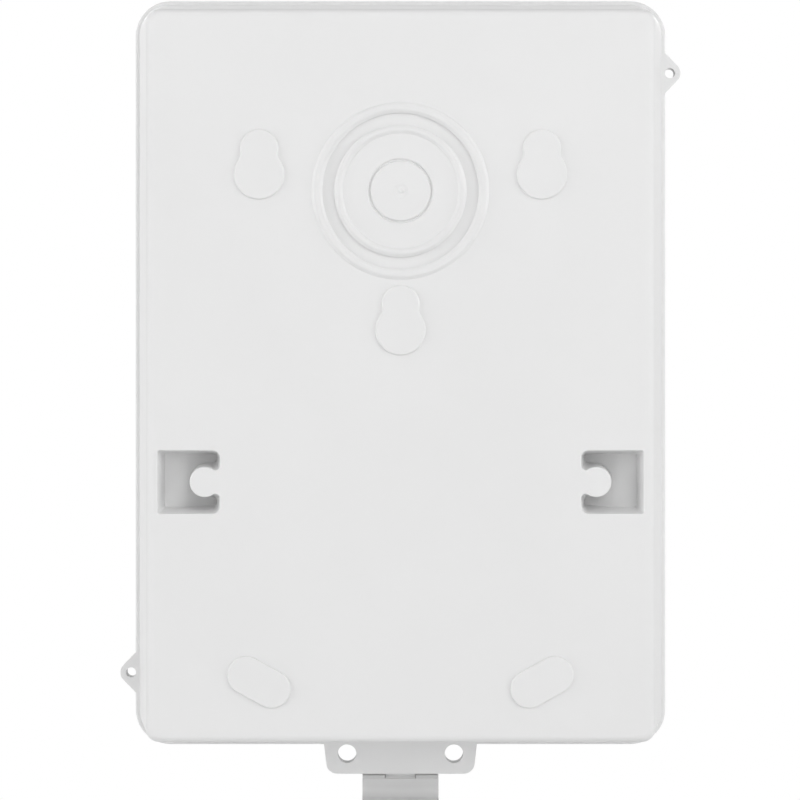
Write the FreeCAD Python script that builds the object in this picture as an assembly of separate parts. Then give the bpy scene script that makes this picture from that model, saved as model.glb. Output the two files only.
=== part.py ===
"""Consumer unit enclosure: a moulded rear base, a hinged front cover with a clear door, and the chassis,
rails and terminal bars inside. Millimetres. +Z is up, the front looks along -Y, and the wall is the plane
y = 0. The origin is the centre of the rear cable entry, on the plane of the raised blanks."""

import FreeCAD, Part
import math
import os
from FreeCAD import Vector

# Outline of the rim, which base and cover share
RIM_WIDTH = 221.0
RIM_HEIGHT = 310.0
RIM_CORNER = 14.5
RIM_THICK = 3.0
RIM_EDGE = 0.8
PARTING_GAP = 0.3

# Cable entry, whose centre is the origin, above the middle of the rim
ENTRY_ABOVE_MIDDLE = 73.2
MIDDLE_Z = -ENTRY_ABOVE_MIDDLE

# Rear base shell
BASE_DEPTH = 55.0
BASE_LEDGE = 1.7
BASE_WALL = 2.8
BASE_DRAFT = 8.7
BASE_REAR_FILLET = 3.0
MOUTH_BAND_DEPTH = 7.5
MOUTH_BAND_INSET = 5.7
TONGUE_THICK = 1.7
TONGUE_HEIGHT = 2.5
TONGUE_GAP = 0.3

# Raised blanks on the rear face
BLANK_RISE = 1.0
BLANK_EDGE = 0.7
KEYHOLE_WIDE_R = 10.0
KEYHOLE_NARROW_R = 7.6
KEYHOLE_PITCH = 10.3
KEYHOLE_WAIST_R = 4.0
KEYHOLE_SPACING = 112.2
KEYHOLE_ABOVE_ENTRY = 6.6
LOW_KEYHOLE_BELOW_ENTRY = 55.2
SLOT_BLANK_R = 7.6
SLOT_BLANK_PITCH = 11.4
SLOT_BLANK_TILT = 29.0
SLOT_BLANK_SPACING = 112.2
SLOT_BLANK_BELOW_ENTRY = 194.8

# Rings of the cable-entry blank
OUTER_BEAD_R = 35.3
OUTER_BEAD_WIDTH = 4.3
INNER_BEAD_R = 26.3
INNER_BEAD_WIDTH = 3.5
BEAD_FLANK = 1.2
BEAD_CROWN_R = 1.2
CHANNEL_DEPTH = 0.8
KNOCKOUT_R = 13.0
KNOCKOUT_GROOVE = 1.4
KNOCKOUT_GROOVE_FLOOR = 0.3
KNOCKOUT_GROOVE_DEPTH = 0.8
GATE_R = 2.9
GATE_DEPTH = 0.45

# Side pockets with a round-headed tongue
POCKET_WIDTH = 24.8
POCKET_HEIGHT = 25.1
POCKET_INNER_X = 71.6
POCKET_BELOW_MIDDLE = 42.3
POCKET_SHALLOW = 12.0
POCKET_DEEP = 17.0
POCKET_RAMP_START = 9.5
POCKET_WALL = 2.2
POCKET_DRAFT = 8.5
POCKET_RAMP_BLEND = 12.0
POCKET_EDGE = 0.45
POCKET_INNER_CORNER = 3.0
POCKET_OUTER_CORNER = 0.8
TONGUE_HEAD_R = 5.95
TONGUE_HEAD_REACH = 6.1
TONGUE_ROOT_R = 1.85
TONGUE_DRAFT = 4.0

# Sealing ears, one on each long side
EAR_HOLE_R = 2.1
EAR_HOLE_OUT = 1.9
EAR_TIP_R = 4.4
EAR_BASE_HALF = 8.4
EAR_FROM_MIDDLE = 125.0

# Hasp plate under the rim
HASP_TOP_WIDTH = 64.4
HASP_FOOT_WIDTH = 61.0
HASP_DROP = 12.3
HASP_CORNER = 4.7
HASP_HOLE_R = 3.9
HASP_HOLE_SPACING = 44.6
HASP_HOLE_DROP = 3.95

# Latch clip on its pin
LATCH_WIDTH = 31.7
LATCH_KNUCKLE_R = 2.0
LATCH_GAP = 0.3
LATCH_STRAP = 2.0
LATCH_HOOK_RISE = 5.6
LATCH_HOOK_EDGE = 0.9
LATCH_TAIL_OUT = 2.3
LATCH_TAIL_LEAN = 12.0
LATCH_TAIL_TOP = 0.5
LATCH_TAIL_FLAT = 3.0
LATCH_LIP_R = 3.6
LATCH_LIP_REACH = 2.0
LATCH_LUG_WIDTH = 12.3
LATCH_LUG_R = 1.2
LATCH_PIN_R = 0.6
LATCH_BORE_GAP = 0.05

# Front cover
COVER_DEPTH = 49.7
COVER_LEDGE = 1.2
COVER_WALL = 2.5
COVER_DRAFT = 4.0
COVER_FRONT_FILLET = 7.0
COVER_INNER_FILLET = 4.5
RECESS_INSIDE_DOOR = 7.0
RECESS_CORNER = 8.0
RECESS_DEPTH = 12.0

# Module rows
MODULE_WIDTH = 17.6
MODULE_COUNT = 9
ROW_SPACING = 125.0
APERTURE_HEIGHT = 46.4
APERTURE_SIDE_GAP = 1.8
APERTURE_CORNER = 2.0
BLANKED_COUNT = 3
STRIP_GAP = 0.3
STRIP_THICK = 1.6
STRIP_SCORE = 0.6
STRIP_SCORE_WIDTH = 1.0
STRIP_LEG_DEPTH = 6.0
STRIP_LEG_THICK = 1.4
STRIP_NIB = 0.8
DEVICE_DEPTH = 46.0

# Cover hinge
COVER_HINGE_R = 3.0
COVER_HINGE_SPACING = 120.0
COVER_LUG_WIDTH = 12.0
COVER_BLOCK_WIDTH = 40.0
COVER_BLOCK_HEIGHT = 9.0
COVER_BLOCK_DEPTH = 8.0
HINGE_CLEAR = 0.3
HINGE_BORE_GAP = 0.05
COVER_PIN_R = 1.25
PIN_SHORT_OF_BLOCK = 2.0

# Clear door
DOOR_FROM_SIDE = 17.5
DOOR_FROM_END = 37.0
DOOR_DEPTH = 11.0
DOOR_WALL = 2.2
DOOR_CORNER = 9.0
DOOR_FRONT_FILLET = 4.0
DOOR_GAP = 0.3
DOOR_HINGE_R = 3.0
DOOR_HINGE_SPACING = 150.0
DOOR_LUG_WIDTH = 9.0
DOOR_BLOCK_WIDTH = 28.0
DOOR_BLOCK_SIDE = 6.4
DOOR_PIN_R = 1.25
DOOR_GRIP_WIDTH = 34.0
DOOR_GRIP_OUT = 4.5
DOOR_GRIP_THICK = 2.4
DOOR_GRIP_FILLET = 2.0

# Chassis bars and DIN rails
BAR_FROM_SIDE = 24.5
BAR_WIDTH = 18.0
BAR_THICK = 2.0
BAR_PAST_TERMINALS = 8.0
BAR_END_R = 4.0
POST_R = 5.0
POST_FROM_TERMINALS = 26.0
POST_RIB = 1.8
POST_RIB_REACH = 6.0
POST_RIB_DROP = 6.0
POST_SINK = 1.0
RAIL_HEIGHT = 35.0
RAIL_CROWN = 27.0
RAIL_DEPTH = 7.5
RAIL_SHEET = 1.0
RAIL_PAST_SCREW = 7.0
RAIL_BEND_R = 0.8
RAIL_SLOT_LENGTH = 15.0
RAIL_SLOT_WIDTH = 6.2
RAIL_SLOT_PITCH = 25.0
SCREW_R = 1.9
SCREW_CLEAR = 0.1
SCREW_HEAD_R = 3.6
SCREW_HEAD_H = 2.4
SCREW_LENGTH = 9.0
SCREW_SLOT = 0.8
PILOT_DEPTH = 14.0

# End clamps on the rails
CLAMP_WIDTH = 9.0
CLAMP_HEIGHT = 46.0
CLAMP_DEPTH = 14.0
CLAMP_GAP = 0.2
CLAMP_FOOT = 3.0
CLAMP_FROM_BAR = 4.0

# Terminal bars and their holders
TERMINAL_BAR_FROM_END = 32.0
TERMINAL_BAR_HEIGHT = 9.0
TERMINAL_BAR_DEPTH = 7.0
TERMINAL_COUNT = 10
TERMINAL_PITCH = 13.0
WIRE_HOLE_R = 2.4
WIRE_HOLE_OFF_MIDDLE = 0.7
TERMINAL_SCREW_R = 1.9
TERMINAL_HEAD_R = 2.9
TERMINAL_HEAD_H = 2.2
HOLDER_WIDTH = 20.0
HOLDER_HEIGHT = 20.0
HOLDER_DEPTH = 13.0
HOLDER_LAP = 10.0
HOLDER_FLOOR = 4.0
HOLDER_GAP = 0.2
HOLDER_FILLET = 1.2
HOLDER_SCREW_OUT = 5.0

# Cable knock-outs in the foot of the base
FOOT_KNOCKOUT_COUNT = 3
FOOT_KNOCKOUT_R = 10.2
FOOT_KNOCKOUT_PITCH = 46.0
FOOT_KNOCKOUT_Y = -31.0
FOOT_GROOVE_WIDTH = 1.2
FOOT_GROOVE_DEPTH = 1.2

# Worked out from the sizes above
REAR_Y = -BLANK_RISE
PARTING_Y = REAR_Y - BASE_DEPTH
COVER_REAR_Y = PARTING_Y - PARTING_GAP
COVER_FRONT_Y = COVER_REAR_Y - COVER_DEPTH
PANEL_Y = COVER_FRONT_Y + RECESS_DEPTH
HALF_WIDTH = RIM_WIDTH / 2
HALF_HEIGHT = RIM_HEIGHT / 2
TOP_Z = MIDDLE_Z + HALF_HEIGHT
FOOT_Z = MIDDLE_Z - HALF_HEIGHT
BAR_X = HALF_WIDTH - BAR_FROM_SIDE
RAIL_LENGTH = 2 * (BAR_X + RAIL_PAST_SCREW)
RAIL_FRONT_Y = PANEL_Y + DEVICE_DEPTH
RAIL_BACK_Y = RAIL_FRONT_Y + RAIL_DEPTH
BAR_BACK_Y = RAIL_BACK_Y + BAR_THICK
BASE_FLOOR_Y = REAR_Y - BASE_WALL
TERMINAL_BAR_Z = HALF_HEIGHT - TERMINAL_BAR_FROM_END
POST_Z = TERMINAL_BAR_Z - POST_FROM_TERMINALS
BAR_HALF_LENGTH = TERMINAL_BAR_Z + BAR_PAST_TERMINALS
POCKET_Z = MIDDLE_Z - POCKET_BELOW_MIDDLE
ROW_Z = [MIDDLE_Z + ROW_SPACING / 2, MIDDLE_Z - ROW_SPACING / 2]
APERTURE_HALF_WIDTH = MODULE_COUNT * MODULE_WIDTH / 2 + APERTURE_SIDE_GAP
HINGE_Y = PARTING_Y - COVER_HINGE_R - HINGE_CLEAR
HINGE_Z = TOP_Z - COVER_HINGE_R
DOOR_HALF_WIDTH = HALF_WIDTH - DOOR_FROM_SIDE
DOOR_HALF_HEIGHT = HALF_HEIGHT - DOOR_FROM_END
RECESS_HALF_WIDTH = DOOR_HALF_WIDTH - RECESS_INSIDE_DOOR
RECESS_HALF_HEIGHT = DOOR_HALF_HEIGHT - RECESS_INSIDE_DOOR
DOOR_REAR_Y = COVER_FRONT_Y - DOOR_GAP
DOOR_HINGE_X = -(DOOR_HALF_WIDTH - DOOR_HINGE_R)
DOOR_HINGE_Y = DOOR_REAR_Y - DOOR_HINGE_R
HASP_FOOT_Z = FOOT_Z - HASP_DROP
LATCH_Y = PARTING_Y + RIM_THICK / 2
LATCH_Z = HASP_FOOT_Z - LATCH_GAP - LATCH_KNUCKLE_R
SMALL = 0.01


def box(x0, x1, y0, y1, z0, z1):
    """Block between two corners, in any order."""
    x, y, z = min(x0, x1), min(y0, y1), min(z0, z1)
    return Part.makeBox(abs(x1 - x0), abs(y1 - y0), abs(z1 - z0), Vector(x, y, z))


def rod(radius, start, end):
    """Cylinder between two points."""
    axis = end - start
    return Part.makeCylinder(radius, axis.Length, start, axis)


def prism(points, direction):
    """Straight-sided solid from the corners of one face, carried along a direction."""
    wire = Part.makePolygon(points + [points[0]])
    return Part.Face(wire).extrude(direction)


def fused(shapes):
    """One solid from overlapping shapes, with split faces healed."""
    return shapes[0].multiFuse(shapes[1:]).removeSplitter()


def mirrored_x(shape):
    """The shape's twin on the other side of the middle."""
    return shape.mirror(Vector(0, 0, 0), Vector(1, 0, 0))


def edges_where(shape, test):
    """Edges whose middle passes a test."""
    return [e for e in shape.Edges if test(e.CenterOfMass, e)]


def rounded_block(half_width, half_height, corner, y_wide, y_narrow, draft=0.0):
    """Block with round upright corners about the rim's middle, which narrows by the draft to y_narrow."""
    depth = abs(y_narrow - y_wide)
    shrink = depth * math.tan(math.radians(draft))
    way = Vector(0, math.copysign(1, y_narrow - y_wide), 0)
    core_x, core_z = half_width - corner, half_height - corner

    def tapered(reach_x, reach_z, lean_x, lean_z):
        def ring(y, less):
            x, z = reach_x - less * lean_x, reach_z - less * lean_z
            corners = [(-x, -z), (x, -z), (x, z), (-x, z)]
            return [Vector(cx, y, MIDDLE_Z + cz) for cx, cz in corners]

        wide, narrow = ring(y_wide, 0), ring(y_narrow, shrink)
        sides = [[wide[i], wide[i - 1], narrow[i - 1], narrow[i]] for i in range(4)]
        faces = [Part.Face(Part.makePolygon(c + [c[0]])) for c in [wide, narrow] + sides]
        return Part.makeSolid(Part.makeShell(faces))

    pieces = [tapered(half_width, core_z, 1, 0), tapered(core_x, half_height, 0, 1)]
    for x in (-core_x, core_x):
        for z in (-core_z, core_z):
            foot = Vector(x, y_wide, MIDDLE_Z + z)
            if shrink:
                pieces.append(Part.makeCone(corner, corner - shrink, depth, foot, way))
            else:
                pieces.append(Part.makeCylinder(corner, depth, foot, way))
    for piece in pieces:
        if piece.Volume < 0:
            piece.reverse()
    return fused(pieces)


def inset_block(inset, y_wide, y_narrow, draft=0.0):
    """Rounded block that follows the rim, set in from its outline."""
    return rounded_block(
        HALF_WIDTH - inset, HALF_HEIGHT - inset, RIM_CORNER - inset, y_wide, y_narrow, draft
    )


def keyhole_blank(x, z):
    """Raised keyhole-shaped blank, narrow lobe up, with rounded edges."""
    foot, top = REAR_Y - SMALL, REAR_Y + BLANK_RISE
    wide = rod(KEYHOLE_WIDE_R, Vector(x, foot, z), Vector(x, top, z))
    upper = z + KEYHOLE_PITCH
    narrow = rod(KEYHOLE_NARROW_R, Vector(x, foot, upper), Vector(x, top, upper))
    blank = fused([wide, narrow])
    waist = edges_where(blank, lambda c, e: abs(abs(c.y - (foot + top) / 2)) < SMALL and abs(c.x - x) > 1)
    waist = [e for e in waist if z < e.CenterOfMass.z < upper and len(e.Vertexes) == 2]
    blank = blank.makeFillet(KEYHOLE_WAIST_R, waist)
    rim = edges_where(blank, lambda c, e: abs(c.y - top) < SMALL)
    return blank.makeFillet(BLANK_EDGE, rim)


def slot_blank(side):
    """Raised slanted blank near the foot, sloping down towards the middle."""
    foot, top = REAR_Y - SMALL, REAR_Y + BLANK_RISE
    middle = Vector(side * SLOT_BLANK_SPACING / 2, 0, -SLOT_BLANK_BELOW_ENTRY)
    tilt = math.radians(SLOT_BLANK_TILT)
    along = Vector(side * math.cos(tilt), 0, math.sin(tilt))
    across = Vector(-along.z, 0, along.x)
    half = SLOT_BLANK_PITCH / 2
    corners = [
        middle + along * a * half + across * b * SLOT_BLANK_R + Vector(0, foot, 0)
        for a, b in ((-1, -1), (1, -1), (1, 1), (-1, 1))
    ]
    rise = Vector(0, top - foot, 0)
    lobes = [prism(corners, rise)]
    for end in (-half, half):
        start = middle + along * end + Vector(0, foot, 0)
        lobes.append(rod(SLOT_BLANK_R, start, start + rise))
    blank = fused(lobes)
    rim = edges_where(blank, lambda c, e: abs(c.y - top) < SMALL)
    return blank.makeFillet(BLANK_EDGE, rim)


def ring_about_entry(outer, width, y0, y1):
    """Flat-topped ring about the cable entry."""
    low, high = Vector(0, min(y0, y1), 0), Vector(0, max(y0, y1), 0)
    return rod(outer, low, high).cut(rod(outer - width, low, high))


def revolved(section):
    """Solid turned about the cable entry's axis, from the corners (radius, y) of its section."""
    corners = [Vector(radius, y, 0) for radius, y in section]
    return Part.Face(Part.makePolygon(corners + corners[:1])).revolve(Vector(0, 0, 0), Vector(0, 1, 0), 360)


def bead(outer, width):
    """Raised ring with leaning flanks and a rounded crown."""
    foot, top, inner = REAR_Y - SMALL, REAR_Y + BLANK_RISE, outer - width
    crown = [(outer, REAR_Y), (outer - BEAD_FLANK, top), (inner + BEAD_FLANK, top), (inner, REAR_Y)]
    ring = revolved([(outer, foot)] + crown + [(inner, foot)])
    rims = edges_where(ring, lambda c, e: abs(c.y - top) < SMALL and len(e.Vertexes) == 1)
    return ring.makeFillet(BEAD_CROWN_R, rims)


def cable_entry_cuts():
    """Channel between the beads, knock-out groove and gate mark."""
    channel = ring_about_entry(
        OUTER_BEAD_R - OUTER_BEAD_WIDTH,
        OUTER_BEAD_R - OUTER_BEAD_WIDTH - INNER_BEAD_R,
        REAR_Y - CHANNEL_DEPTH,
        REAR_Y + SMALL,
    )
    floor, top = REAR_Y - KNOCKOUT_GROOVE_DEPTH, REAR_Y + SMALL
    inner, middle = KNOCKOUT_R - KNOCKOUT_GROOVE, KNOCKOUT_R - KNOCKOUT_GROOVE / 2
    land = KNOCKOUT_GROOVE_FLOOR / 2
    groove = revolved([(KNOCKOUT_R, top), (inner, top), (middle - land, floor), (middle + land, floor)])
    gate_r = (GATE_R**2 + GATE_DEPTH**2) / (2 * GATE_DEPTH)
    gate = Part.makeSphere(gate_r, Vector(0, REAR_Y - GATE_DEPTH + gate_r, 0))
    return [channel, groove, gate]


def pocket_ramp(grow):
    """Depth profile of a pocket: shallow at its outer side, then a ramp down to the inner side."""
    x0, x1 = POCKET_INNER_X - grow, POCKET_INNER_X + POCKET_WIDTH + grow
    ramp_x = POCKET_INNER_X + POCKET_WIDTH - POCKET_RAMP_START
    top, shallow, deep = REAR_Y + SMALL, REAR_Y - POCKET_SHALLOW - grow, REAR_Y - POCKET_DEEP - grow
    corners = [(x0, top), (x1, top), (x1, shallow), (ramp_x, shallow), (x0, deep)]
    half = POCKET_HEIGHT / 2 + grow
    ramp = prism([Vector(x, y, POCKET_Z - half) for x, y in corners], Vector(0, 0, 2 * half))
    return ramp.makeFillet(POCKET_RAMP_BLEND, edges_where(ramp, lambda c, e: abs(c.x - ramp_x) < SMALL))


def pocket_corners(y, lean, grow):
    """Corner arcs of a pocket's outline at one depth, in turn from the lower inner corner."""
    x0, x1 = POCKET_INNER_X - grow + lean, POCKET_INNER_X + POCKET_WIDTH + grow - lean
    half = POCKET_HEIGHT / 2 + grow - lean
    inner, outer = POCKET_INNER_CORNER + grow - lean, POCKET_OUTER_CORNER + grow
    tips = [(x0, -half, inner), (x1, -half, outer), (x1, half, outer), (x0, half, inner)]
    ways = [Vector(0, 0, -1), Vector(1, 0, 0), Vector(0, 0, 1), Vector(-1, 0, 0)]
    arcs = []
    for i, (x, z, radius) in enumerate(tips):
        here, onward = ways[i], ways[(i + 1) % 4]
        tip = Vector(x, y, POCKET_Z + z)
        middle = tip + (onward - here) * radius * (1 - 1 / math.sqrt(2))
        arcs.append(Part.Arc(tip - here * radius, middle, tip + onward * radius).toShape())
    return arcs


def tongue_arcs(y, lean, grow):
    """Outline of the tongue at one depth, from its upper root round the head to its lower root."""
    wall_x, head_x = POCKET_INNER_X + lean, POCKET_INNER_X + TONGUE_HEAD_REACH
    radius, root = TONGUE_HEAD_R + grow, TONGUE_ROOT_R
    root_x = wall_x + root
    root_z = math.sqrt((radius + root) ** 2 - (head_x - root_x) ** 2)
    share = radius / (radius + root)
    touch_x, touch_z = head_x + (root_x - head_x) * share, root_z * share
    turn = (math.pi + math.atan2(root_z, root_x - head_x) + math.pi) / 2
    bend_x, bend_z = root_x + root * math.cos(turn), root_z + root * math.sin(turn)

    def at(x, z):
        return Vector(x, y, POCKET_Z + z)

    return [
        Part.Arc(at(wall_x, root_z), at(bend_x, bend_z), at(touch_x, touch_z)).toShape(),
        Part.Arc(at(touch_x, touch_z), at(head_x + radius, 0), at(touch_x, -touch_z)).toShape(),
        Part.Arc(at(touch_x, -touch_z), at(bend_x, -bend_z), at(wall_x, -root_z)).toShape(),
    ]


def pocket_outline(y, lean, grow, tongue_grow=None):
    """Closed outline of a pocket at one depth, round its tongue where a growth is given for that."""
    arcs = pocket_corners(y, lean, grow)
    if tongue_grow is not None:
        arcs += tongue_arcs(y, lean, tongue_grow)
    edges = []
    for i, arc in enumerate(arcs):
        start = arc.valueAt(arc.LastParameter)
        following = arcs[(i + 1) % len(arcs)]
        end = following.valueAt(following.FirstParameter)
        edges.append(arc)
        if start.distanceToPoint(end) > SMALL:
            edges.append(Part.makeLine(start, end))
    return Part.Wire(edges)


def pocket_block(grow):
    """Pocket on the +X side, whose walls lean in, grown on all hidden sides by a wall."""
    deep = POCKET_DEEP + POCKET_WALL
    lean = deep * math.tan(math.radians(POCKET_DRAFT))
    outlines = [pocket_outline(REAR_Y + SMALL, 0, grow), pocket_outline(REAR_Y - deep, lean, grow)]
    return Part.makeLoft(outlines, True, True).common(pocket_ramp(grow))


def pocket_cut():
    """Hollow of the pocket on the +X side, round its tongue."""
    deep = POCKET_DEEP + POCKET_WALL
    lean = deep * math.tan(math.radians(POCKET_DRAFT))
    spread = deep * math.tan(math.radians(TONGUE_DRAFT))
    outlines = [pocket_outline(REAR_Y + SMALL, 0, 0, 0), pocket_outline(REAR_Y - deep, lean, 0, spread)]
    return Part.makeLoft(outlines, True, True).common(pocket_ramp(0))


def pocket_mouth(c, e):
    """Whether an edge is on the rim of a pocket's mouth."""
    level = all(abs(v.Y - REAR_Y) < SMALL / 2 for v in e.Vertexes) and abs(c.y - REAR_Y) < SMALL / 2
    beside = POCKET_INNER_X - 1 < abs(c.x) < POCKET_INNER_X + POCKET_WIDTH + 1
    return level and beside and abs(c.z - POCKET_Z) < POCKET_HEIGHT / 2 + 1


def ear(side, y0, y1):
    """Sealing ear with flanks at 45 degrees and a round tip, on the rim plate's plane."""
    z = MIDDLE_Z - side * EAR_FROM_MIDDLE
    hole_x = side * (HALF_WIDTH + EAR_HOLE_OUT)
    root_x = side * (HALF_WIDTH - RIM_THICK)
    flank = EAR_TIP_R / math.sqrt(2)
    spread = EAR_BASE_HALF + RIM_THICK
    tip = rod(EAR_TIP_R, Vector(hole_x, y0, z), Vector(hole_x, y1, z))
    corners = [
        Vector(root_x, y0, z - spread),
        Vector(hole_x + side * flank, y0, z - flank),
        Vector(hole_x + side * flank, y0, z + flank),
        Vector(root_x, y0, z + spread),
    ]
    return fused([tip, prism(corners, Vector(0, y1 - y0, 0))])


def ear_hole(side, y0, y1):
    """Hole for a sealing wire."""
    z = MIDDLE_Z - side * EAR_FROM_MIDDLE
    hole_x = side * (HALF_WIDTH + EAR_HOLE_OUT)
    return rod(EAR_HOLE_R, Vector(hole_x, y0, z), Vector(hole_x, y1, z))


def hasp_plate(y0, y1):
    """Plate under the rim, a little narrower at its foot, with round lower corners."""
    top, half_top, half_foot = FOOT_Z + RIM_THICK, HASP_TOP_WIDTH / 2, HASP_FOOT_WIDTH / 2
    corners = [(-half_top, top), (half_top, top), (half_foot, HASP_FOOT_Z), (-half_foot, HASP_FOOT_Z)]
    plate = prism([Vector(x, y0, z) for x, z in corners], Vector(0, y1 - y0, 0))
    foot = edges_where(
        plate, lambda c, e: abs(c.z - HASP_FOOT_Z) < SMALL and abs(c.y - (y0 + y1) / 2) < SMALL
    )
    return plate.makeFillet(HASP_CORNER, foot)


def hasp_holes(y0, y1):
    """The two round holes of a hasp plate."""
    z = FOOT_Z - HASP_HOLE_DROP
    half = HASP_HOLE_SPACING / 2
    return [rod(HASP_HOLE_R, Vector(x, y0, z), Vector(x, y1, z)) for x in (-half, half)]


def latch_lug():
    """Knuckle under the base's hasp plate, which holds the latch pin, on a web half as thick as the plate."""
    half = LATCH_LUG_WIDTH / 2
    knuckle = rod(LATCH_LUG_R, Vector(-half, LATCH_Y, LATCH_Z), Vector(half, LATCH_Y, LATCH_Z))
    return fused([knuckle, box(-half, half, PARTING_Y, LATCH_Y, LATCH_Z, HASP_FOOT_Z + SMALL)])


def pin_bore(radius, half, y, z):
    """Bore along X, centred on the middle."""
    return rod(radius, Vector(-half, y, z), Vector(half, y, z))


def cover_hinge_lug(x):
    """Lug on the base's rim that a cover hinge pin runs through."""
    half, radius = COVER_LUG_WIDTH / 2, COVER_HINGE_R - HINGE_CLEAR
    knuckle = rod(radius, Vector(x - half, HINGE_Y, HINGE_Z), Vector(x + half, HINGE_Y, HINGE_Z))
    web = box(x - half, x + half, HINGE_Y, PARTING_Y + SMALL, HINGE_Z - radius, HINGE_Z + radius)
    return fused([knuckle, web])


def hinge_places():
    """Where the two cover hinges lie along X."""
    return [-COVER_HINGE_SPACING / 2, COVER_HINGE_SPACING / 2]


def post_places():
    """Where the four chassis posts stand, as (x, z)."""
    return [(x, MIDDLE_Z + z) for x in (-BAR_X, BAR_X) for z in (-POST_Z, POST_Z)]


def chassis_post(x, z):
    """Post on the base's floor with crossed ribs at its foot."""
    foot, crest = BASE_FLOOR_Y + POST_SINK, BAR_BACK_Y + POST_RIB_DROP
    post = rod(POST_R, Vector(x, foot, z), Vector(x, BAR_BACK_Y, z))
    reach, half = POST_R + POST_RIB_REACH, POST_RIB / 2
    across = [(-reach, foot, -half), (reach, foot, -half), (half, crest, -half), (-half, crest, -half)]
    upright = [(-half, foot, -reach), (-half, foot, reach), (-half, crest, half), (-half, crest, -half)]
    ribs = [
        prism([Vector(x + a, y, z + b) for a, y, b in corners], way * POST_RIB)
        for corners, way in ((across, Vector(0, 0, 1)), (upright, Vector(1, 0, 0)))
    ]
    return fused([post] + ribs)


def foot_knockouts():
    """Scored rings in the foot of the base, square to its leaning wall."""
    lean = math.radians(BASE_DRAFT)
    surface = FOOT_Z + BASE_LEDGE + (FOOT_KNOCKOUT_Y - PARTING_Y - RIM_THICK) * math.tan(lean)
    inward = Vector(0, -math.sin(lean), math.cos(lean))
    rings = []
    for i in range(FOOT_KNOCKOUT_COUNT):
        x = (i - (FOOT_KNOCKOUT_COUNT - 1) / 2) * FOOT_KNOCKOUT_PITCH
        start = Vector(x, FOOT_KNOCKOUT_Y, surface) - inward
        end = start + inward * (1 + FOOT_GROOVE_DEPTH)
        rings.append(
            rod(FOOT_KNOCKOUT_R, start, end).cut(rod(FOOT_KNOCKOUT_R - FOOT_GROOVE_WIDTH, start, end))
        )
    return rings


def base_tongue():
    """Locating tongue in front of the rim, along both sides and the foot."""
    inset = COVER_LEDGE + COVER_WALL + TONGUE_GAP
    front = PARTING_Y - TONGUE_HEIGHT
    ring = inset_block(inset, PARTING_Y + SMALL, front)
    ring = ring.cut(inset_block(inset + TONGUE_THICK, PARTING_Y + SMALL, front))
    top = box(-HALF_WIDTH, HALF_WIDTH, PARTING_Y + 1, front - 1, TOP_Z - RIM_CORNER, TOP_Z)
    return ring.cut(top)


def rim_plate(parting, outer):
    """Rim with the edge that is away from the parting line rounded."""
    rim = inset_block(0, parting, outer)
    return rim.makeFillet(RIM_EDGE, edges_where(rim, lambda c, e: abs(c.y - outer) < SMALL))


def rear_base():
    """Rear moulding with everything that is one piece with it."""
    rim_back = PARTING_Y + RIM_THICK
    rim = rim_plate(PARTING_Y, rim_back)
    shell = inset_block(BASE_LEDGE, rim_back - SMALL, REAR_Y, BASE_DRAFT)
    rear_edges = edges_where(shell, lambda c, e: abs(c.y - REAR_Y) < SMALL)
    shell = shell.makeFillet(BASE_REAR_FILLET, rear_edges)
    plates = [ear(side, PARTING_Y, rim_back) for side in (-1, 1)]
    plates.append(hasp_plate(PARTING_Y, rim_back))
    body = fused([rim, shell] + plates)
    cavity = inset_block(BASE_LEDGE + BASE_WALL, rim_back, BASE_FLOOR_Y, BASE_DRAFT)
    mouth_back = PARTING_Y + MOUTH_BAND_DEPTH
    cavity = cavity.cut(box(-HALF_WIDTH, HALF_WIDTH, PARTING_Y - 1, mouth_back, FOOT_Z, TOP_Z))
    mouth = inset_block(MOUTH_BAND_INSET, PARTING_Y - 1, mouth_back + SMALL)
    body = body.cut(fused([cavity, mouth]))
    inside = box(0, HALF_WIDTH, PARTING_Y, REAR_Y - BASE_WALL / 2, FOOT_Z, TOP_Z)
    pocket_walls = pocket_block(POCKET_WALL).common(inside)
    additions = [pocket_walls, mirrored_x(pocket_walls)]
    additions += [chassis_post(x, z) for x, z in post_places()]
    additions += [cover_hinge_lug(x) for x in hinge_places()]
    additions += [latch_lug(), base_tongue()]
    body = fused([body] + additions)
    pocket = pocket_cut()
    cuts = [pocket, mirrored_x(pocket)]
    cuts += cable_entry_cuts() + foot_knockouts()
    cuts += [ear_hole(side, PARTING_Y, rim_back) for side in (-1, 1)]
    cuts += hasp_holes(PARTING_Y, rim_back)
    cuts.append(pin_bore(LATCH_PIN_R + LATCH_BORE_GAP, LATCH_WIDTH, LATCH_Y, LATCH_Z))
    cuts.append(pin_bore(COVER_PIN_R + HINGE_BORE_GAP, HALF_WIDTH, HINGE_Y, HINGE_Z))
    for x, z in post_places():
        pilot = SCREW_R + SCREW_CLEAR
        cuts.append(rod(pilot, Vector(x, BAR_BACK_Y - 1, z), Vector(x, BAR_BACK_Y + PILOT_DEPTH, z)))
    body = body.cut(cuts)
    body = body.makeFillet(POCKET_EDGE, edges_where(body, pocket_mouth))
    high = KEYHOLE_ABOVE_ENTRY
    blanks = [keyhole_blank(side * KEYHOLE_SPACING / 2, high) for side in (-1, 1)]
    blanks.append(keyhole_blank(0, -LOW_KEYHOLE_BELOW_ENTRY))
    blanks += [slot_blank(side) for side in (-1, 1)]
    blanks += [bead(OUTER_BEAD_R, OUTER_BEAD_WIDTH), bead(INNER_BEAD_R, INNER_BEAD_WIDTH)]
    return body.fuse(blanks)


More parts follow.
